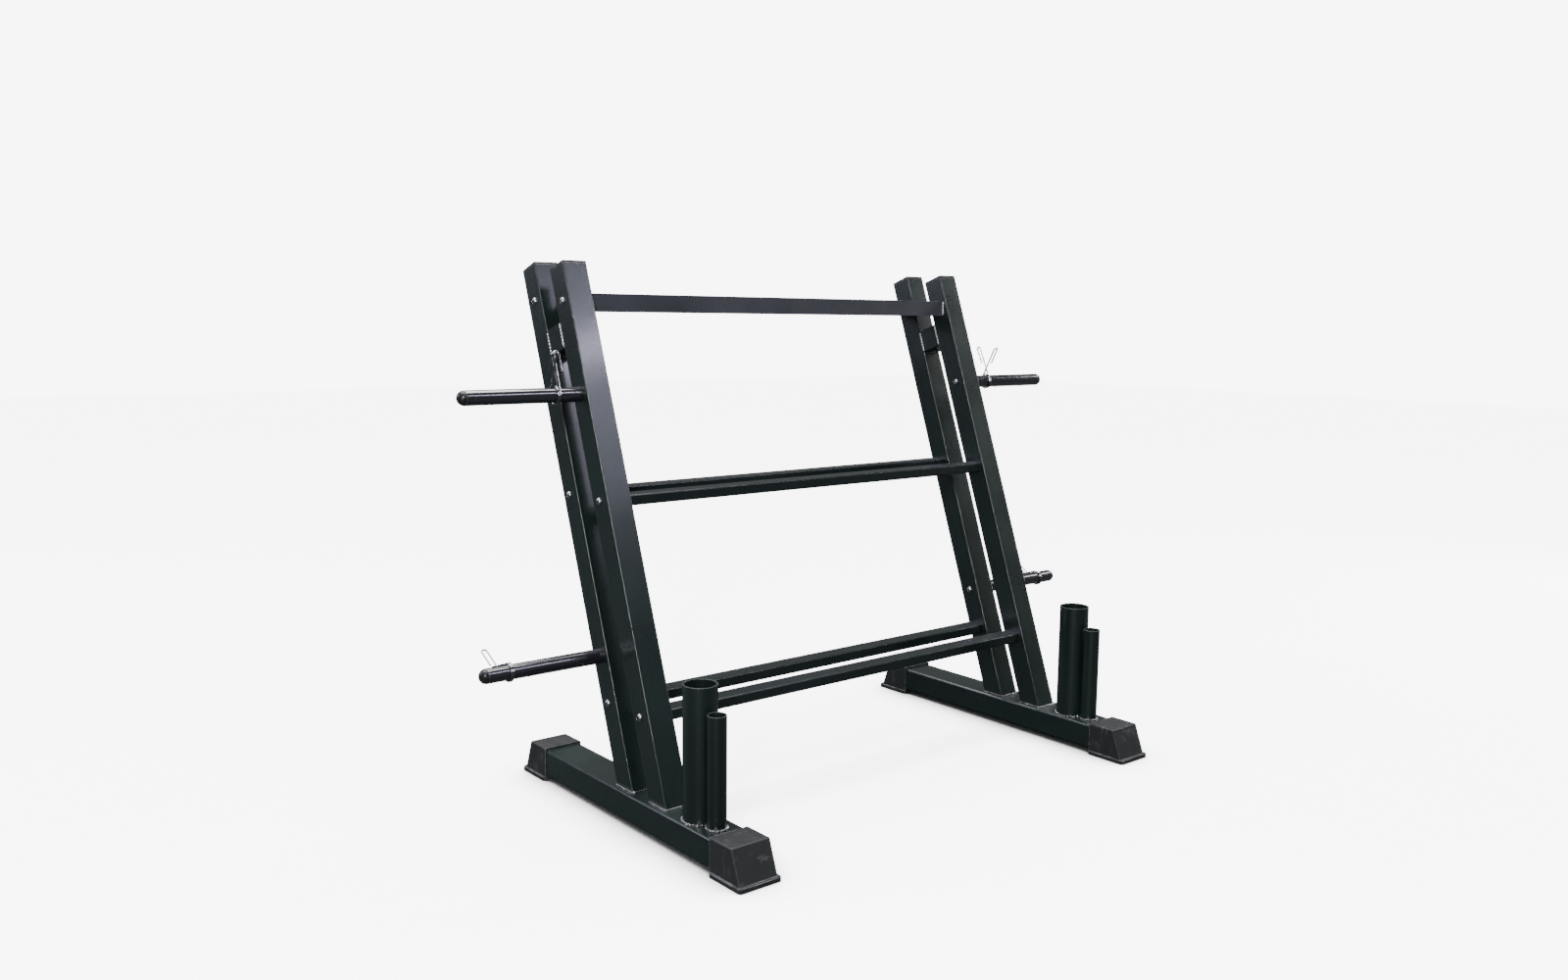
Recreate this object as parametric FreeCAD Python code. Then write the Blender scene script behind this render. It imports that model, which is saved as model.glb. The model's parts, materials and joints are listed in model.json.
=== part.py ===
import FreeCAD, Part
import math
import os

# Two-tier dumbbell rack with a top tray, plate pegs and upright bar holders.
# Millimetres. X runs left to right, Y front to back, Z up; the origin is on the floor
# in the middle of the footprint. "left" is the -X end frame, "right" is the +X one.

# Overall
SPACING = 975.0             # centre to centre of the two end frames
HEIGHT = 1000.0             # floor to the front edge of the post plugs
FOOTPRINT = 720.0           # front to back over the foot caps

# Base tube, lying front to back
BASE_WIDTH = 75.0
BASE_HEIGHT = 50.0
BASE_WALL = 2.5
BASE_RADIUS = 4.0
BASE_LENGTH = 650.0
BASE_LIFT = 11.0            # floor to the underside of the tube
BASE_TOP = BASE_LIFT + BASE_HEIGHT

# Foot cap, moulded shoe over each end of a base tube
CAP_LENGTH = 86.5
CAP_FLANGE_WIDTH = 86.0
CAP_FLANGE_HEIGHT = 8.0
CAP_FLANGE_RADIUS = 6.0
CAP_INSET = 3.5             # flange edge to the body above it
CAP_TOP = 66.0
CAP_TOP_WIDTH = 79.0
CAP_SLOPE_RUN = 28.0        # front edge of the flange to the front edge of the top
CAP_EDGE_RADIUS = 3.0

INSIDE_CORNER = 0.5         # smallest corner radius inside any rectangular tube

# Leaning posts, two side by side in each frame
LEAN = 19.5                 # degrees back from the vertical
POST = 50.0
POST_WALL = 2.5
POST_RADIUS = 2.0
POST_GAP = 50.0             # clear gap between the pair, square to the posts
FRONT_POST_Y = -126.0       # front edge of the front post where it meets the base tube
PLUG_THICK = 4.0
PLUG_SKIRT = 14.0
PLUG_WALL = 2.0
PLUG_RADIUS = 2.0
PLUG_SKIRT_RADIUS = 1.5

# Spacer tube between the two posts, just below the tray
SPACER_Z = 856.0
SPACER_WALL = 2.5

# Tray on top
TRAY_FRONT = 192.0
TRAY_DEPTH = 140.0
TRAY_BOTTOM = 908.0
TRAY_LIP = 33.0
TRAY_SHEET = 2.0
TRAY_CORNER = 4.0
TRAY_BOLT_Z = 926.0

# Dumbbell rails
RAIL_DEPTH = 40.0
RAIL_HEIGHT = 20.0
RAIL_WALL = 2.0
RAIL_RADIUS = 3.0
RAIL_SET_BACK = 4.5         # rail centreline behind the posts' centreline
RAIL_MID_Z = 571.0
RAIL_LOW_Z = 205.0
RAIL_BLOCK = 15.0           # threaded block welded in each rail end

# Plate pegs
PEG_RADIUS = 13.45
PEG_WALL = 2.6
PEG_LENGTH = 224.0          # tube only, the domed cap adds one radius
PEG_UPPER_Z = 759.0         # on the front post
PEG_LOWER_Z = 288.0         # on the rear post
PEG_PLUG = 20.0
PEG_CAP_STEM = 16.0

# Upright bar holders on the base tubes
LARGE_RADIUS = 30.15
LARGE_WALL = 2.9
LARGE_Y = -192.0
LARGE_TOP = 296.0
SMALL_RADIUS = 16.85
SMALL_WALL = 2.6
SMALL_TOP = 254.0
HOLDER_GAP = 0.3
SMALL_Y = LARGE_Y - LARGE_RADIUS - SMALL_RADIUS - HOLDER_GAP

# Fasteners, M8
BOLT_RADIUS = 4.0
BOLT_LENGTH = 65.0
HOLE_RADIUS = 4.5
HEAD_RADIUS = 7.0
HEAD_HEIGHT = 4.4
HEAD_RIM = 1.0
SOCKET_FLATS = 5.0
SOCKET_DEPTH = 2.5
NUT_FLATS = 13.0
NUT_HEIGHT = 6.5

# Spring collars, one on each peg
WIRE_RADIUS = 1.6
COLLAR_CLEARANCE = 0.3
COLLAR_PITCH = 3.7
COLLAR_TURN = 588.0         # degrees of wire round the peg: the handles cross 48 degrees apart
HANDLE_LENGTH = 73.0
HANDLE_RETURN = 34.0
HANDLE_BEND = 5.0
COLLAR_UPPER_X = 563.0
COLLAR_LOWER_X = 694.0
COLLAR_UPPER_ANGLE = 68.0   # lower handle's direction in degrees above straight back
COLLAR_LOWER_ANGLE = -18.0

SIN = math.sin(math.radians(LEAN))
COS = math.cos(math.radians(LEAN))
TAN = SIN / COS
PAIR_STEP = (POST + POST_GAP) / COS
POST_Y = {"front": FRONT_POST_Y, "rear": FRONT_POST_Y + PAIR_STEP}
SIDES = {"left": -1, "right": 1}
INNER_FACE = (SPACING - POST) / 2
OUTER_FACE = (SPACING + POST) / 2
X_AXIS = FreeCAD.Vector(1, 0, 0)
Y_AXIS = FreeCAD.Vector(0, 1, 0)
Z_AXIS = FreeCAD.Vector(0, 0, 1)
ORIGIN = FreeCAD.Vector(0, 0, 0)


def save(name, shape):
    shape.exportStep("parts/" + name + ".step")


def group(solids):
    return Part.makeCompound(solids)


def one_solid(shape):
    return shape.removeSplitter().Solids[0]


def post_centre_y(row, z):
    """Y of a post's centreline where it crosses height z."""
    return POST_Y[row] + (z - BASE_TOP) * TAN + POST / COS / 2


def rail_centre_y(row, z):
    return post_centre_y(row, z) + RAIL_SET_BACK


def rounded_rectangle(width, depth, radius):
    """Closed wire in the XY plane, centred on the origin."""
    x, y, r = width / 2, depth / 2, radius
    edges = []
    for i, (sx, sy) in enumerate(((1, -1), (1, 1), (-1, 1), (-1, -1))):
        centre = FreeCAD.Vector(sx * (x - r), sy * (y - r), 0)
        edges.append(Part.makeCircle(r, centre, Z_AXIS, 90 * i - 90, 90 * i))
    corners = [(e.valueAt(e.FirstParameter), e.valueAt(e.LastParameter)) for e in edges]
    sides = [Part.makeLine(corners[i][1], corners[(i + 1) % 4][0]) for i in range(4)]
    return Part.Wire([e for pair in zip(edges, sides) for e in pair])


def bar(width, depth, radius, length):
    """Solid rounded bar rising from the XY plane."""
    return Part.Face(rounded_rectangle(width, depth, radius)).extrude(FreeCAD.Vector(0, 0, length))


def hollow_bar(width, depth, wall, radius, length):
    """Rectangular tube rising from the XY plane."""
    inner_radius = max(radius - wall, INSIDE_CORNER)
    core = bar(width - 2 * wall, depth - 2 * wall, inner_radius, length)
    return one_solid(bar(width, depth, radius, length).cut(core))


def pipe(radius, wall, length):
    return Part.makeCylinder(radius, length).cut(Part.makeCylinder(radius - wall, length))


def lay_along_x(shape):
    shape.rotate(ORIGIN, Y_AXIS, 90)
    return shape


def lay_along_y(shape):
    shape.rotate(ORIGIN, X_AXIS, -90)
    return shape


def lean_back(shape, side, row):
    """Tilt a shape drawn upright behind a post's foot edge and stand it on the base tube."""
    shape.rotate(ORIGIN, X_AXIS, -LEAN)
    shape.translate(FreeCAD.Vector(SIDES[side] * SPACING / 2, POST_Y[row], BASE_TOP))
    return shape


def cross_hole(side, y, z):
    """Cylinder through both walls of a post along X."""
    start = FreeCAD.Vector(SIDES[side] * SPACING / 2 - POST, y, z)
    return Part.makeCylinder(HOLE_RADIUS, 2 * POST, start, X_AXIS)


def base_tube(side):
    tube = hollow_bar(BASE_WIDTH, BASE_HEIGHT, BASE_WALL, BASE_RADIUS, BASE_LENGTH)
    lay_along_y(tube)
    tube.translate(FreeCAD.Vector(SIDES[side] * SPACING / 2, -BASE_LENGTH / 2,
                                  BASE_LIFT + BASE_HEIGHT / 2))
    return tube


def foot_cap(side, end):
    """Shoe with a flange at the floor, a sloping outer face and a pocket for the tube end."""
    flange = bar(CAP_FLANGE_WIDTH, CAP_LENGTH, CAP_FLANGE_RADIUS, CAP_FLANGE_HEIGHT)
    flange.translate(FreeCAD.Vector(0, CAP_LENGTH / 2, 0))

    def outline(half_width, front, z):
        corners = ((-half_width, front), (half_width, front),
                   (half_width, CAP_LENGTH), (-half_width, CAP_LENGTH))
        return Part.makePolygon([FreeCAD.Vector(x, y, z) for x, y in corners + corners[:1]])

    body = Part.makeLoft([outline(CAP_FLANGE_WIDTH / 2 - CAP_INSET, CAP_INSET, 0),
                          outline(CAP_TOP_WIDTH / 2, CAP_SLOPE_RUN, CAP_TOP)], True, True)
    soft = [e for e in body.Edges
            if e.BoundBox.YMin < CAP_LENGTH - 1 and e.BoundBox.ZMax > 1]
    body = body.makeFillet(CAP_EDGE_RADIUS, soft)
    pocket = bar(BASE_WIDTH, BASE_HEIGHT, BASE_RADIUS, BASE_LENGTH)
    lay_along_y(pocket)
    pocket.translate(FreeCAD.Vector(0, (FOOTPRINT - BASE_LENGTH) / 2, BASE_LIFT + BASE_HEIGHT / 2))
    cap = one_solid(flange.fuse(body).cut(pocket))
    cap.translate(FreeCAD.Vector(0, -FOOTPRINT / 2, 0))
    if end == "rear":
        cap.rotate(ORIGIN, Z_AXIS, 180)
    cap.translate(FreeCAD.Vector(SIDES[side] * SPACING / 2, 0, 0))
    return cap


def post(side, row):
    """Leaning square tube, cut level on the base tube and square at the top."""
    length = (HEIGHT - BASE_TOP) / COS - PLUG_THICK
    tube = hollow_bar(POST, POST, POST_WALL, POST_RADIUS, length)
    tube.translate(FreeCAD.Vector(0, POST / 2, 0))
    lean_back(tube, side, row)
    tube = tube.cut(Part.makeBox(2 * SPACING, 2 * FOOTPRINT, BASE_TOP,
                                 FreeCAD.Vector(-SPACING, -FOOTPRINT, 0)))
    peg_z = PEG_UPPER_Z if row == "front" else PEG_LOWER_Z
    for z in (TRAY_BOLT_Z, peg_z):
        tube = tube.cut(cross_hole(side, post_centre_y(row, z), z))
    for z in (RAIL_MID_Z, RAIL_LOW_Z):
        tube = tube.cut(cross_hole(side, rail_centre_y(row, z), z))
    return one_solid(tube)


def post_plug(side, row):
    """Flat cover over the open top of a post with a skirt inside it."""
    length = (HEIGHT - BASE_TOP) / COS - PLUG_THICK
    inner = POST - 2 * POST_WALL
    cover = bar(POST, POST, PLUG_RADIUS, PLUG_THICK)
    skirt = hollow_bar(inner, inner, PLUG_WALL, PLUG_SKIRT_RADIUS, PLUG_SKIRT)
    skirt.translate(FreeCAD.Vector(0, 0, -PLUG_SKIRT))
    plug = one_solid(cover.fuse(skirt))
    plug.translate(FreeCAD.Vector(0, POST / 2, length))
    return lean_back(plug, side, row)


def spacer(side):
    """Short square tube filling the gap between the two posts."""
    middle = POST + POST_GAP / 2
    rise = (SPACER_Z - BASE_TOP + middle * SIN) / COS
    tube = hollow_bar(POST, POST, SPACER_WALL, POST_RADIUS, POST_GAP)
    lay_along_y(tube)
    tube.translate(FreeCAD.Vector(0, POST, rise))
    return lean_back(tube, side, "front")


def tray():
    """Folded sheet tray with a lip all round and two bolt holes in each end."""
    length = 2 * INNER_FACE
    outer = bar(length, TRAY_DEPTH, TRAY_CORNER, TRAY_LIP)
    core = bar(length - 2 * TRAY_SHEET, TRAY_DEPTH - 2 * TRAY_SHEET,
               TRAY_CORNER - TRAY_SHEET, TRAY_LIP)
    core.translate(FreeCAD.Vector(0, 0, TRAY_SHEET))
    sheet = outer.cut(core)
    sheet.translate(FreeCAD.Vector(0, TRAY_FRONT + TRAY_DEPTH / 2, TRAY_BOTTOM))
    for side in SIDES:
        for row in POST_Y:
            sheet = sheet.cut(cross_hole(side, post_centre_y(row, TRAY_BOLT_Z), TRAY_BOLT_Z))
    return one_solid(sheet)


def rail(row, z):
    tube = hollow_bar(RAIL_HEIGHT, RAIL_DEPTH, RAIL_WALL, RAIL_RADIUS, 2 * INNER_FACE)
    lay_along_x(tube)
    tube.translate(FreeCAD.Vector(-INNER_FACE, rail_centre_y(row, z), z))
    return tube


def rail_block(side, y, z):
    """Threaded block inside one end of a rail."""
    block = bar(RAIL_HEIGHT - 2 * RAIL_WALL, RAIL_DEPTH - 2 * RAIL_WALL,
                RAIL_RADIUS - RAIL_WALL, RAIL_BLOCK)
    block = block.cut(Part.makeCylinder(BOLT_RADIUS, RAIL_BLOCK))
    lay_along_x(block)
    start = INNER_FACE - RAIL_BLOCK if side == "right" else -INNER_FACE
    block.translate(FreeCAD.Vector(start, y, z))
    return block


def along_post_face(shape, side, y, z, face, outward):
    """Move a shape drawn on the Z axis onto a post face, its +Z turned along X."""
    if outward * SIDES[side] > 0:
        shape.rotate(ORIGIN, Y_AXIS, 90)
    else:
        shape.rotate(ORIGIN, Y_AXIS, -90)
    shape.translate(FreeCAD.Vector(SIDES[side] * face, y, z))
    return shape


def bolt():
    """Button-head socket screw, head up, the underside of the head at Z = 0."""
    arch = Part.Arc(FreeCAD.Vector(HEAD_RADIUS, 0, HEAD_RIM),
                    FreeCAD.Vector(HEAD_RADIUS * 0.76, 0, HEAD_HEIGHT * 0.78),
                    FreeCAD.Vector(HEAD_RADIUS * 0.5, 0, HEAD_HEIGHT)).toShape()
    lines = Part.makePolygon([FreeCAD.Vector(HEAD_RADIUS * 0.5, 0, HEAD_HEIGHT),
                              FreeCAD.Vector(0, 0, HEAD_HEIGHT), FreeCAD.Vector(0, 0, -BOLT_LENGTH),
                              FreeCAD.Vector(BOLT_RADIUS, 0, -BOLT_LENGTH),
                              FreeCAD.Vector(BOLT_RADIUS, 0, 0), FreeCAD.Vector(HEAD_RADIUS, 0, 0),
                              FreeCAD.Vector(HEAD_RADIUS, 0, HEAD_RIM)])
    screw = Part.Face(Part.Wire(arch.Edges + lines.Edges)).revolve(ORIGIN, Z_AXIS, 360)
    socket = hexagon(SOCKET_FLATS, SOCKET_DEPTH + 1)
    socket.translate(FreeCAD.Vector(0, 0, HEAD_HEIGHT - SOCKET_DEPTH))
    return screw.cut(socket).Solids[0]


def hexagon(flats, height):
    radius = flats / math.sqrt(3)
    points = [FreeCAD.Vector(radius * math.cos(math.radians(a)), radius * math.sin(math.radians(a)), 0)
              for a in range(0, 361, 60)]
    return Part.Face(Part.makePolygon(points)).extrude(FreeCAD.Vector(0, 0, height))


def nut():
    return hexagon(NUT_FLATS, NUT_HEIGHT).cut(Part.makeCylinder(BOLT_RADIUS, NUT_HEIGHT))


def peg_tube(side, y, z):
    return along_post_face(pipe(PEG_RADIUS, PEG_WALL, PEG_LENGTH), side, y, z, OUTER_FACE, 1)


def peg_plug(side, y, z):
    """Threaded plug welded in the root of a peg."""
    plug = pipe(PEG_RADIUS - PEG_WALL, PEG_RADIUS - PEG_WALL - BOLT_RADIUS, PEG_PLUG)
    return along_post_face(plug, side, y, z, OUTER_FACE, 1)


def peg_cap(side, y, z):
    """Domed cap with a stem inside the peg."""
    dome = Part.makeSphere(PEG_RADIUS, ORIGIN, Z_AXIS, 0, 90, 360)
    stem = Part.makeCylinder(PEG_RADIUS - PEG_WALL, PEG_CAP_STEM,
                             FreeCAD.Vector(0, 0, -PEG_CAP_STEM))
    return along_post_face(dome.fuse(stem), side, y, z, OUTER_FACE + PEG_LENGTH, 1)


def bar_holder(side, y, radius, wall, top):
    tube = pipe(radius, wall, top - BASE_TOP)
    tube.translate(FreeCAD.Vector(SIDES[side] * SPACING / 2, y, BASE_TOP))
    return tube


def collar_handle(root, along, bend):
    """Centreline edges of one handle from the coil outwards: leg, hairpin and short return."""
    across = (X_AXIS - along * X_AXIS.dot(along)).normalize() * bend
    tip = root + along * HANDLE_LENGTH
    back = tip + across * 2
    hairpin = Part.Arc(tip, tip + across + along * abs(bend), back).toShape()
    return [Part.makeLine(root, tip), hairpin, Part.makeLine(back, back - along * HANDLE_RETURN)]


def spring_collar(side, y, z, x, angle):
    """Two-handled wire spring wound round a peg, its handles crossing behind the coil."""
    coil = PEG_RADIUS + COLLAR_CLEARANCE + WIRE_RADIUS
    width = COLLAR_PITCH * COLLAR_TURN / 360
    helix = Part.makeHelix(COLLAR_PITCH, width, coil)
    lay_along_x(helix)
    helix.rotate(ORIGIN, X_AXIS, angle + 180)
    helix.translate(FreeCAD.Vector(-width / 2, 0, 0))
    turns = helix.Edges[0]
    lower = collar_handle(turns.valueAt(turns.FirstParameter),
                          turns.tangentAt(turns.FirstParameter) * -1, -HANDLE_BEND)
    upper = collar_handle(turns.valueAt(turns.LastParameter),
                          turns.tangentAt(turns.LastParameter), HANDLE_BEND)
    spine = Part.Wire(lower[::-1] + [turns] + upper)
    free_end = lower[-1].valueAt(lower[-1].LastParameter)
    inward = lower[-1].tangentAt(lower[-1].LastParameter) * -1
    profile = Part.Wire(Part.makeCircle(WIRE_RADIUS, free_end, inward))
    wire = spine.makePipeShell([profile], True, False)
    if SIDES[side] < 0:
        wire = wire.mirror(ORIGIN, X_AXIS)
    wire.translate(FreeCAD.Vector(SIDES[side] * x, y, z))
    return wire


os.makedirs("parts", exist_ok=True)

PEGS = {"upper": (post_centre_y("front", PEG_UPPER_Z), PEG_UPPER_Z),
        "lower": (post_centre_y("rear", PEG_LOWER_Z), PEG_LOWER_Z)}
COLLARS = {"upper": (COLLAR_UPPER_X, COLLAR_UPPER_ANGLE), "lower": (COLLAR_LOWER_X, COLLAR_LOWER_ANGLE)}
RAILS = {"mid": RAIL_MID_Z, "low": RAIL_LOW_Z}
ENDS = [(side, row) for side in SIDES for row in POST_Y]

for side in SIDES:
    save("base_tube_" + side, base_tube(side))
    for end in ("front", "rear"):
        save("foot_cap_" + end + "_" + side, foot_cap(side, end))
    for row in POST_Y:
        save("post_" + row + "_" + side, post(side, row))
        save("post_plug_" + row + "_" + side, post_plug(side, row))
    save("post_spacer_" + side, spacer(side))
    save("bar_holder_large_" + side,
         bar_holder(side, LARGE_Y, LARGE_RADIUS, LARGE_WALL, LARGE_TOP))
    save("bar_holder_small_" + side,
         bar_holder(side, SMALL_Y, SMALL_RADIUS, SMALL_WALL, SMALL_TOP))
    for level, spot in PEGS.items():
        save("plate_peg_" + level + "_" + side, peg_tube(side, *spot))
        save("peg_cap_" + level + "_" + side, peg_cap(side, *spot))
        save("spring_collar_" + level + "_" + side, spring_collar(side, *spot, *COLLARS[level]))

save("shelf_tray", tray())
for level, z in RAILS.items():
    for row in POST_Y:
        save("rail_" + level + "_" + row, rail(row, z))

SHELF_SPOTS = [(side, post_centre_y(row, TRAY_BOLT_Z), TRAY_BOLT_Z) for side, row in ENDS]
RAIL_SPOTS = [(side, rail_centre_y(row, z), z) for side, row in ENDS for z in RAILS.values()]
PEG_SPOTS = [(side, *spot) for side in SIDES for spot in PEGS.values()]
for name, spots, face, outward in (("shelf_bolts", SHELF_SPOTS, OUTER_FACE, 1),
                                   ("rail_bolts", RAIL_SPOTS, OUTER_FACE, 1),
                                   ("peg_bolts", PEG_SPOTS, INNER_FACE, -1)):
    save(name, group([along_post_face(bolt(), *spot, face, outward) for spot in spots]))
save("rail_end_blocks", group([rail_block(*spot) for spot in RAIL_SPOTS]))
save("peg_root_plugs", group([peg_plug(*spot) for spot in PEG_SPOTS]))
save("shelf_nuts", group([along_post_face(nut(), *spot, INNER_FACE - TRAY_SHEET, -1)
                          for spot in SHELF_SPOTS]))
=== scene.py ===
import json
import math
import random

import bpy
from mathutils import Matrix, Vector


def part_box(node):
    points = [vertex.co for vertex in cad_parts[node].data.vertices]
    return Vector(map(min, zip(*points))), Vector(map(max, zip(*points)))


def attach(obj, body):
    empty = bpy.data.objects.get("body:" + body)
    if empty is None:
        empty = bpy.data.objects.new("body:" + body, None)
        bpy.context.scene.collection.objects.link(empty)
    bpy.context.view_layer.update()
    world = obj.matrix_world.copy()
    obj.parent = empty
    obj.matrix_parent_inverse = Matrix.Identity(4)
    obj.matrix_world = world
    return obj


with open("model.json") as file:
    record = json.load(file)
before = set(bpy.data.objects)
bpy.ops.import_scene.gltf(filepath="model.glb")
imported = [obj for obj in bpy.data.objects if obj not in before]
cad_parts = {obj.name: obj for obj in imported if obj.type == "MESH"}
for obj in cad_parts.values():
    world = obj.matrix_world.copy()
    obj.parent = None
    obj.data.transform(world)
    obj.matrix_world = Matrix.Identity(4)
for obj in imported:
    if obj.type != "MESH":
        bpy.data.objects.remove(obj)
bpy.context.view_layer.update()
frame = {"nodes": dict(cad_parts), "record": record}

random.seed(7)

SIDES = {"left": -1, "right": 1}
WHITE = (1.0, 1.0, 1.0)


# ------------------------------------------------- places read from the solids, in metres
post_low, post_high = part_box("post_front_right")
POST = post_high.x - post_low.x
SPACING = post_high.x + post_low.x              # between the middles of the two end frames
POST_Y = {row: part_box(f"post_{row}_right")[0].y for row in ("front", "rear")}
BASE_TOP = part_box("base_tube_right")[1].z
LEAN = math.radians(19.5)
GAP = (POST_Y["rear"] - POST_Y["front"]) * math.cos(LEAN) - POST     # between a frame's two posts
SPACER_Z = sum(corner.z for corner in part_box("post_spacer_right")) / 2
TRAY_LOW, TRAY_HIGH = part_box("shelf_tray")

LARGE_R = 0.0603 / 2                            # 60.3 mm pipe
SMALL_R = 0.0337 / 2                            # 33.7 mm pipe
LARGE_Y = sum(corner.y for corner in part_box("bar_holder_large_right")) / 2
SMALL_Y = sum(corner.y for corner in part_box("bar_holder_small_right")) / 2
SMALL_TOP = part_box("bar_holder_small_right")[1].z


# ---------------------------------------------------------------- materials
class Nodes:
    """Small helper that wires up one material's node tree."""

    def __init__(self, name):
        self.mat = bpy.data.materials.new(name)
        self.mat.use_nodes = True
        self.tree = self.mat.node_tree
        self.shader = self.tree.nodes["Principled BSDF"]
        self.coords = self.tree.nodes.new("ShaderNodeTexCoord").outputs["Object"]

    def node(self, kind, **values):
        made = self.tree.nodes.new("ShaderNode" + kind)
        for key, value in values.items():
            if hasattr(made, key):
                setattr(made, key, value)
            else:
                made.inputs[key.replace("_", " ")].default_value = value
        return made

    def link(self, out, into):
        self.tree.links.new(out, into)

    def noise(self, scale, detail=3.0, roughness=0.5, stretch=None):
        source = self.coords
        if stretch:
            mapping = self.node("Mapping")
            mapping.inputs["Scale"].default_value = stretch
            self.link(source, mapping.inputs["Vector"])
            source = mapping.outputs["Vector"]
        made = self.node("TexNoise", Scale=scale, Detail=detail, Roughness=roughness)
        self.link(source, made.inputs["Vector"])
        return made.outputs["Fac"]

    def remap(self, value, low, high, to_low=0.0, to_high=1.0):
        made = self.node("MapRange")
        for key, number in (("From Min", low), ("From Max", high),
                            ("To Min", to_low), ("To Max", to_high)):
            made.inputs[key].default_value = number
        self.link(value, made.inputs["Value"])
        return made.outputs["Result"]

    def multiply(self, a, b):
        made = self.node("Math", operation="MULTIPLY")
        self.link(a, made.inputs[0])
        self.link(b, made.inputs[1])
        return made.outputs["Value"]

    def mix(self, factor, a, b):
        made = self.node("Mix", data_type="RGBA")
        self.link(factor, made.inputs[0])
        for socket, value in ((made.inputs[6], a), (made.inputs[7], b)):
            if isinstance(value, tuple):
                socket.default_value = (*value, 1.0)
            else:
                self.link(value, socket)
        return made.outputs[2]

    def edge_mask(self, radius=0.0012):
        """1 along the part's hard edges, 0 on its faces."""
        bevel = self.node("Bevel", samples=8, Radius=radius)
        geometry = self.node("NewGeometry")
        dot = self.node("VectorMath", operation="DOT_PRODUCT")
        self.link(bevel.outputs["Normal"], dot.inputs[0])
        self.link(geometry.outputs["Normal"], dot.inputs[1])
        return self.remap(dot.outputs["Value"], 0.975, 0.90)

    def bump(self, *layers, bevel=0.0):
        """Stack of (height, distance in metres, strength) bumps over a softened edge normal."""
        normal = None
        if bevel:
            normal = self.node("Bevel", samples=4, Radius=bevel).outputs["Normal"]
        for height, distance, strength in layers:
            made = self.node("Bump", Distance=distance, Strength=strength)
            self.link(height, made.inputs["Height"])
            if normal is not None:
                self.link(normal, made.inputs["Normal"])
            normal = made.outputs["Normal"]
        self.link(normal, self.shader.inputs["Normal"])

    def colour(self, out):
        self.link(out, self.shader.inputs["Base Color"])

    def roughness(self, out):
        self.link(out, self.shader.inputs["Roughness"])

    def fixed(self, **values):
        for key, value in values.items():
            self.shader.inputs[key.replace("_", " ")].default_value = value
        return self


def powder_coat(name, base, low, high, rub_and_highlight):
    """Black powder coat: fine orange peel, faint dust, and lighter rubbed edges that are partly painted edge
    highlights.
    """
    m = Nodes(name).fixed(Specular_IOR_Level=0.29, Coat_Weight=0.30, Coat_Roughness=0.12)
    tone = m.mix(m.remap(m.noise(6.0, 4.0), 0.35, 0.7), base, tuple(c * 1.6 for c in base))
    dust = m.remap(m.noise(420.0, 2.0), 0.755, 0.82, 0.0, 0.18)
    tone = m.mix(dust, tone, (0.24, 0.24, 0.25))
    rub_and_highlight_patches = m.remap(m.noise(38.0, 5.0, 0.65), 0.40, 0.70, 0.30, rub_and_highlight)
    # Lighter colour along hard edges: partly rubbed paint, partly painted edge highlight.
    m.colour(m.mix(m.multiply(m.edge_mask(), rub_and_highlight_patches), tone, (0.20, 0.205, 0.22)))
    m.roughness(m.remap(m.noise(9.0, 4.0), 0.3, 0.72, low, high))
    m.bump((m.noise(14.0, 2.0), 0.0008, 0.03), (m.noise(900.0, 2.0, 0.6), 0.00010, 0.30), bevel=0.0012)
    return m.mat


def moulded_plastic(name, base, low, high):
    """Satin moulded plastic with a spark-eroded grain, scuffs, and lighter rubbed edges that are partly
    painted edge highlights.
    """
    m = Nodes(name).fixed(Specular_IOR_Level=0.16)
    scuff = m.remap(m.noise(30.0, 6.0, 0.7, (1.0, 4.0, 1.0)), 0.56, 0.76, 0.0, 0.45)
    tone = m.mix(scuff, base, (0.105, 0.105, 0.110))
    rub_and_highlight_patches = m.remap(m.noise(55.0, 4.0), 0.38, 0.66, 0.15, 0.85)
    # Lighter colour along hard edges: partly rubbed plastic, partly painted edge highlight.
    m.colour(m.mix(m.multiply(m.edge_mask(0.002), rub_and_highlight_patches), tone, (0.21, 0.21, 0.22)))
    m.roughness(m.remap(m.noise(45.0, 5.0, 0.6), 0.3, 0.7, low, high))
    m.bump((m.noise(1500.0, 2.0), 0.00008, 0.6), bevel=0.0015)
    return m.mat


def gloss_tube(name, base, low, high):
    """Glossy black tube with fine rings left by plates sliding along it."""
    m = Nodes(name).fixed(Specular_IOR_Level=0.5, Coat_Weight=0.6, Coat_Roughness=0.04)
    rings = m.noise(260.0, 3.0, 0.5, (1.0, 0.06, 0.06))
    m.colour(m.mix(m.remap(rings, 0.62, 0.80, 0.0, 0.14), base, (0.10, 0.10, 0.105)))
    m.roughness(m.remap(m.noise(32.0, 5.0, 0.6), 0.3, 0.72, low, high))
    m.bump((rings, 0.00003, 0.10), (m.noise(700.0, 2.0), 0.00002, 0.12), bevel=0.0008)
    return m.mat


def bright_metal(name, base, stained, low, high, grain):
    """Plated or bare steel with faint brushing and stains."""
    m = Nodes(name).fixed(Metallic=1.0)
    m.colour(m.mix(m.remap(m.noise(90.0, 5.0, 0.6), 0.52, 0.8, 0.0, 0.5), base, stained))
    m.roughness(m.remap(m.noise(140.0, 4.0), 0.3, 0.7, low, high))
    m.bump((m.noise(grain, 3.0, 0.6), 0.00005, 0.35), bevel=0.0006)
    return m.mat


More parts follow.
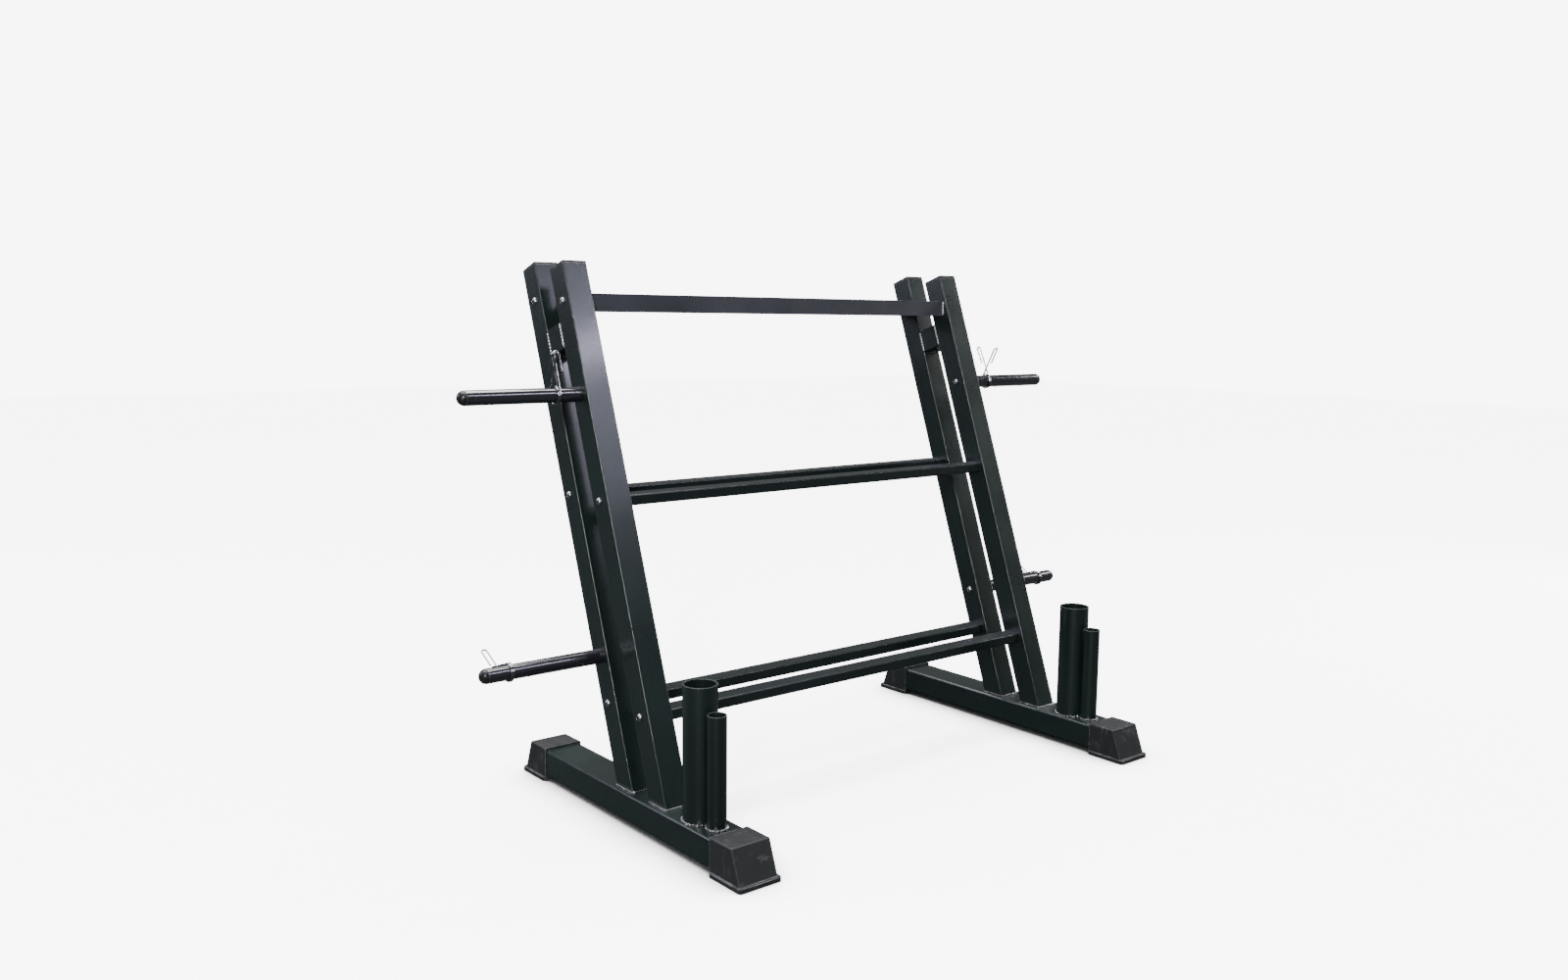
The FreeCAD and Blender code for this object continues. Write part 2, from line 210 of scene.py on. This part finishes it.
def weld_paint(name, base, low, high):
    """Coat that has flowed thin and glossy over a rippled bead, with pale specks that are painted glints."""
    m = Nodes(name).fixed(Specular_IOR_Level=0.5, Coat_Weight=0.30, Coat_Roughness=0.05)
    # Pale specks on the bead: painted glints on its crests.
    m.colour(m.mix(m.remap(m.noise(150.0, 3.0), 0.60, 0.66, 0.0, 0.9), base, (0.34, 0.34, 0.35)))
    m.roughness(m.remap(m.noise(160.0, 4.0), 0.3, 0.7, low, high))
    m.bump((m.noise(520.0, 3.0), 0.00025, 0.7))
    return m.mat


def floor_paint():
    """Pale studio floor, bright to the camera, dim in reflections, with a painted contact shadow close to
    what stands on it.
    """
    m = Nodes("studio_floor").fixed(Specular_IOR_Level=0.05, Emission_Color=(*WHITE, 1.0))
    seen = m.node("LightPath").outputs["Is Camera Ray"]
    # Ambient occlusion drives a painted contact shadow: the floor's colour and glow darken near the rack.
    outside_painted_shadow = m.remap(m.node("AmbientOcclusion", samples=8, Distance=0.09).outputs["AO"], 0.35, 0.97)
    pale = m.mix(m.remap(m.noise(0.8, 3.0), 0.3, 0.7), (0.86, 0.86, 0.865), (0.88, 0.88, 0.885))
    m.colour(m.mix(seen, (0.026, 0.030, 0.030), m.mix(outside_painted_shadow, (0.07, 0.07, 0.07), pale)))
    glow = m.multiply(m.remap(seen, 0.0, 1.0, 0.0, 3.6), outside_painted_shadow)
    m.link(glow, m.shader.inputs["Emission Strength"])
    m.roughness(m.remap(m.noise(5.0, 3.0), 0.3, 0.7, 0.6, 0.75))
    return m.mat


LOOKS = {
    "frame_powder": powder_coat("powder_frame", (0.0026, 0.0056, 0.0050), 0.26, 0.33, rub_and_highlight=0.6),
    "rail_powder": powder_coat("powder_rail", (0.0030, 0.0052, 0.0054), 0.26, 0.34, rub_and_highlight=0.7),
    "tray_powder": powder_coat("powder_tray", (0.0190, 0.0196, 0.0250), 0.30, 0.44, rub_and_highlight=0.8),
    "peg_gloss": gloss_tube("gloss_peg", (0.008, 0.008, 0.011), 0.15, 0.22),
    "foot_plastic": moulded_plastic("plastic_foot", (0.0125, 0.0135, 0.0140), 0.32, 0.48),
    "cap_plastic": moulded_plastic("plastic_cap", (0.0080, 0.0080, 0.0090), 0.22, 0.36),
    "zinc": bright_metal("zinc_fastener", (0.30, 0.305, 0.32), (0.14, 0.14, 0.145), 0.16, 0.28, 900.0),
    "inner_steel": bright_metal("plain_steel", (0.40, 0.40, 0.41), (0.34, 0.33, 0.31), 0.35, 0.5, 700.0),
    "chrome_wire": bright_metal("chrome_wire", (0.25, 0.255, 0.265), (0.16, 0.16, 0.165), 0.08, 0.16, 1200.0),
}
WELD_LOOK = weld_paint("powder_over_weld", (0.006, 0.0065, 0.0070), 0.12, 0.24)
# Pale grey seam beads: painted glints standing in for light on the crests of black-coated welds.
GLINT_SEAM_LOOK = weld_paint("painted_glint_seam", (0.45, 0.455, 0.47), 0.10, 0.20)

slot_of = {part["node"]: part["material_slot"] for part in frame["record"]["subparts"]}
for name, obj in frame["nodes"].items():
    obj.data.materials.clear()
    obj.data.materials.append(LOOKS[slot_of[name]])
    for polygon in obj.data.polygons:
        polygon.use_smooth = True


# ---------------------------------------------------------------- weld beads
RING_PITCH = 0.00065                            # between the rings of a bead's mesh
RING_POINTS = 10
DRIFT_LENGTH = 0.011                            # a bead's slow changes of width are this far apart
DRIFT_STEPS = 64
SKEW = Vector((0.13, 0.31, 0.94))               # no bead runs in this direction


def lerp(a, b, t):
    return a + (b - a) * t


def spread(points, closed):
    """Points at even spacing along a polyline."""
    path = list(points) + ([points[0]] if closed else [])
    out = []
    for a, b in zip(path, path[1:]):
        count = max(1, round((b - a).length / RING_PITCH))
        out += [lerp(a, b, k / count) for k in range(count)]
    return out if closed else out + [path[-1]]


def bead_radii(fine, closed, radius, ripple, lumps):
    """Radius at each point of a bead: ripples of the given length over a slow random drift."""
    phase = random.random() * 6.28
    wobble = [random.uniform(-1, 1) for _ in range(DRIFT_STEPS)]
    count, travelled = len(fine), 0.0
    radii = []
    for i, p in enumerate(fine):
        if closed or i:
            travelled += (p - fine[i - 1]).length
        wave = abs(math.sin(math.pi * travelled / ripple + phase))
        slow = travelled / DRIFT_LENGTH
        k = int(slow) % (DRIFT_STEPS - 1)
        drift = lerp(wobble[k], wobble[k + 1], slow - int(slow))
        r = radius * (1.0 - lumps + lumps * wave + 0.10 * drift)
        if not closed:
            r *= min(1.0, 0.35 + 0.22 * min(i, count - 1 - i))
        radii.append(r)
    return radii


def weld(name, points, radius, closed=False, ripple=0.0026, lumps=0.16, look=WELD_LOOK):
    """Rippled weld bead along a polyline, half sunk in the joint it covers."""
    fine = spread([Vector(p) for p in points], closed)
    count = len(fine)
    verts, faces = [], []
    for i, r in enumerate(bead_radii(fine, closed, radius, ripple, lumps)):
        before = fine[(i - 1) % count] if closed or i else fine[0]
        after = fine[(i + 1) % count] if closed or i < count - 1 else fine[-1]
        tangent = (after - before).normalized()
        across = tangent.cross(SKEW).normalized()
        upward = across.cross(tangent).normalized()
        for j in range(RING_POINTS):
            a = 2 * math.pi * j / RING_POINTS
            verts.append(fine[i] + across * (r * math.cos(a)) + upward * (r * math.sin(a)))
    for i in range(count if closed else count - 1):
        a, b = i * RING_POINTS, ((i + 1) % count) * RING_POINTS
        for j in range(RING_POINTS):
            k = (j + 1) % RING_POINTS
            faces.append((a + j, a + k, b + k, b + j))
    if not closed:
        faces.append(tuple(reversed(range(RING_POINTS))))
        faces.append(tuple(range((count - 1) * RING_POINTS, count * RING_POINTS)))
    mesh = bpy.data.meshes.new(name)
    mesh.from_pydata([tuple(v) for v in verts], [], faces)
    mesh.update()
    for polygon in mesh.polygons:
        polygon.use_smooth = True
    obj = bpy.data.objects.new(name, mesh)
    bpy.context.scene.collection.objects.link(obj)
    mesh.materials.append(look)
    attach(obj, "rack")


def rounded_ring(x0, x1, y0, y1, r, z):
    """Points of a rounded rectangle at height z."""
    out = []
    for cx, cy, start in ((x1 - r, y0 + r, -90), (x1 - r, y1 - r, 0), (x0 + r, y1 - r, 90),
                          (x0 + r, y0 + r, 180)):
        for k in range(5):
            a = math.radians(start + 22.5 * k)
            out.append((cx + r * math.cos(a), cy + r * math.sin(a), z))
    return out


def circle(x, y, r, z):
    """Points of a circle at height z, 6 degrees apart."""
    angles = [math.radians(6 * k) for k in range(60)]
    return [(x + r * math.cos(a), y + r * math.sin(a), z) for a in angles]


def in_pair(side, x, depth, rise):
    """Point in a frame's own directions: across it, back from its front face, up along its posts."""
    return Vector((SIDES[side] * SPACING / 2 + x,
                   POST_Y["front"] + depth * math.cos(LEAN) + rise * math.sin(LEAN),
                   BASE_TOP - depth * math.sin(LEAN) + rise * math.cos(LEAN)))


def post_foot_welds(side):
    """Bead all round the foot of each post."""
    out, lift, corner = 0.0008, 0.0002, 0.0028
    middle = SIDES[side] * SPACING / 2
    half = POST / 2 + out
    for row, y in POST_Y.items():
        ring = rounded_ring(middle - half, middle + half, y - out, y + POST / math.cos(LEAN) + out,
                            corner, BASE_TOP + lift)
        weld(f"weld_post_foot_{row}_{side}", ring, 0.0024, closed=True, ripple=0.0055, lumps=0.34)


def holder_welds(side):
    """Bead round the foot of each bar holder, and two down the joint between them."""
    out, lift = 0.0010, 0.0004
    middle = SIDES[side] * SPACING / 2
    for size, y, r, ripple in (("large", LARGE_Y, LARGE_R, 0.0075), ("small", SMALL_Y, SMALL_R, 0.0070)):
        weld(f"weld_{size}_holder_{side}", circle(middle, y, r + out, BASE_TOP + lift),
             0.0034, closed=True, ripple=ripple, lumps=0.42)
    seam_x, seam_y = 0.0052, LARGE_Y - LARGE_R - 0.0002
    for hand in (-1, 1):
        x = middle + hand * seam_x
        weld(f"weld_holder_seam_{side}_{'in' if hand * SIDES[side] < 0 else 'out'}",
             [(x, seam_y, SMALL_TOP - 0.004), (x, seam_y, SMALL_TOP - 0.028)], 0.0024)


def spacer_welds(side):
    """Beads up both sides of a spacer, and across its top and its underside, at each post."""
    half_rise, half_width = 0.022, 0.020
    rise = (SPACER_Z - BASE_TOP + (POST + GAP / 2) * math.sin(LEAN)) / math.cos(LEAN)
    near, far = POST, POST + GAP
    for face, hand in (("in", -1), ("out", 1)):
        x = hand * SIDES[side] * (POST / 2 - 0.0008)
        for at, depth in (("front", near + 0.0004), ("rear", far - 0.0004)):
            # These beads take the pale seam look, which is a painted glint.
            weld(f"weld_spacer_{at}_{face}_{side}",
                 [in_pair(side, x, depth, rise - half_rise), in_pair(side, x, depth, rise + half_rise)],
                 0.0024, ripple=0.0064, lumps=0.7, look=GLINT_SEAM_LOOK)
    for end, height in (("top", POST / 2), ("under", -POST / 2)):
        for at, depth in (("front", near + 0.0006), ("rear", far - 0.0006)):
            weld(f"weld_spacer_{at}_{end}_{side}",
                 [in_pair(side, -half_width, depth, rise + height),
                  in_pair(side, half_width, depth, rise + height)], 0.0026)


def tray_welds(side):
    """Bead up each of the tray's corners at a frame."""
    inset = 0.0006
    x = SIDES[side] * (TRAY_HIGH.x - inset)
    for end, y in (("front", TRAY_LOW.y + inset), ("rear", TRAY_HIGH.y - inset)):
        # These beads take the pale seam look, which is a painted glint.
        weld(f"weld_tray_{end}_{side}", [(x, y, TRAY_LOW.z + 0.002), (x, y, TRAY_HIGH.z - 0.001)],
             0.0027, ripple=0.0064, lumps=0.78, look=GLINT_SEAM_LOOK)


for side in SIDES:
    post_foot_welds(side)
    holder_welds(side)
    spacer_welds(side)
    tray_welds(side)


# ---------------------------------------------------------------- studio
COOL = (0.80, 0.77, 1.0)
FLOOR_HALF = 14.0


def place(name, data, at=(0, 0, 0), towards=None):
    """Put a floor or a light in the scene, aimed along a direction."""
    obj = bpy.data.objects.new(name, data)
    obj.location = at
    if towards is not None:
        obj.rotation_euler = towards.to_track_quat("-Z", "Y").to_euler()
    bpy.context.scene.collection.objects.link(obj)


def softbox(name, at, aim, size, power, tint=WHITE):
    light = bpy.data.lights.new(name, "AREA")
    light.shape = "RECTANGLE"
    light.size, light.size_y = size
    light.energy = power
    light.color = tint
    place(name, light, at, Vector(aim) - Vector(at))


floor_mesh = bpy.data.meshes.new("studio_floor")
floor_mesh.from_pydata([(x * FLOOR_HALF, y * FLOOR_HALF, 0) for x, y in ((-1, -1), (1, -1), (1, 1), (-1, 1))],
                       [], [(0, 1, 2, 3)])
floor_mesh.materials.append(floor_paint())
place("studio_floor", floor_mesh)

softbox("key_right", (2.1, -3.5, 3.4), (-0.4, 0, 0.7), (1.5, 1.5), 27.0, COOL)
softbox("streak", (1.5, -2.9, 3.1), (-0.6, 0, 0.75), (2.6, 0.10), 42.0, COOL)
softbox("edge_left", (-3.3, -2.9, 2.2), (0, 0, 0.5), (0.22, 2.4), 330.0)
softbox("edge_right", (3.6, -0.6, 1.6), (0, 0, 0.5), (0.4, 2.4), 80.0)
softbox("fill_back_left", (-3.2, 2.8, 2.3), (0.4, 0, 0.9), (1.8, 1.8), 120.0, COOL)

overhead = bpy.data.lights.new("overhead", "SUN")
overhead.energy = 13.0
overhead.angle = math.radians(60)
place("overhead", overhead, towards=Vector((-0.05, -0.22, -1.0)))

# The world is bright to the camera and dim to everything else
world = bpy.data.worlds.new("studio")
bpy.context.scene.world = world
world.use_nodes = True
tree = world.node_tree
background = tree.nodes["Background"]
background.inputs["Color"].default_value = (0.98, 0.985, 1.0, 1.0)
seen = tree.nodes.new("ShaderNodeLightPath")
level = tree.nodes.new("ShaderNodeMapRange")
level.inputs["To Min"].default_value = 0.14
level.inputs["To Max"].default_value = 8.0
tree.links.new(seen.outputs["Is Camera Ray"], level.inputs["Value"])
tree.links.new(level.outputs["Result"], background.inputs["Strength"])


# ---------------------------------------------------------------- camera
EYE = Vector((-1.6836, -1.8853, 0.8934))
YAW, PITCH, ROLL = math.radians(39.0), math.radians(-7.5), math.radians(0.5)
SENSOR_MM, FOCAL_MM = 36.0, 29.4705

forward = Vector((math.sin(YAW) * math.cos(PITCH), math.cos(YAW) * math.cos(PITCH), math.sin(PITCH)))
right = Vector((math.cos(YAW), -math.sin(YAW), 0.0))
up = right.cross(forward)
right, up = right * math.cos(ROLL) + up * math.sin(ROLL), up * math.cos(ROLL) - right * math.sin(ROLL)
camera = bpy.data.cameras.new("camera")
camera.sensor_width = SENSOR_MM
camera.lens = FOCAL_MM
camera.clip_end = 60.0
camera_object = bpy.data.objects.new("camera", camera)
camera_object.matrix_world = Matrix.Translation(EYE) @ Matrix((right, up, -forward)).transposed().to_4x4()
bpy.context.scene.collection.objects.link(camera_object)
bpy.context.scene.camera = camera_object
